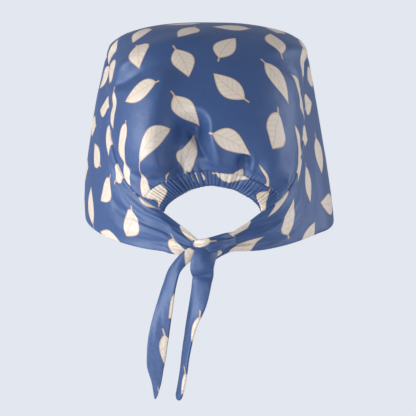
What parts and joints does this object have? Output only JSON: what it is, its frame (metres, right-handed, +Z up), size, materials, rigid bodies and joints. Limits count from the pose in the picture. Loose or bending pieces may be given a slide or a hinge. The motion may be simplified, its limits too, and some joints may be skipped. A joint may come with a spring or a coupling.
{
  "type": "tie-back scrub cap",
  "caption": "Tie-back bouffant scrub cap of printed blue cotton, with a gathered nape opening and knotted ties.",
  "frame": {"origin": "centre of the head opening, on the cap's middle plane, where the head sits", "axes": "+Z up, +Y towards the wearer's face, +X towards the wearer's right; the knot and the ties are on the -Y side"},
  "size_m": [0.1875, 0.2159, 0.2732],
  "materials": {
    "printed_cotton": "smooth woven cotton, cream leaves printed on blue",
    "tie_cotton": "the same printed cotton, folded and turned into ties"
  },
  "bodies": {
    "root": {"crown": "printed_cotton", "band": "printed_cotton", "elastic_casing": "printed_cotton", "knot": "tie_cotton", "tie_left": "tie_cotton", "tie_right": "tie_cotton"}
  },
  "joints": []
}
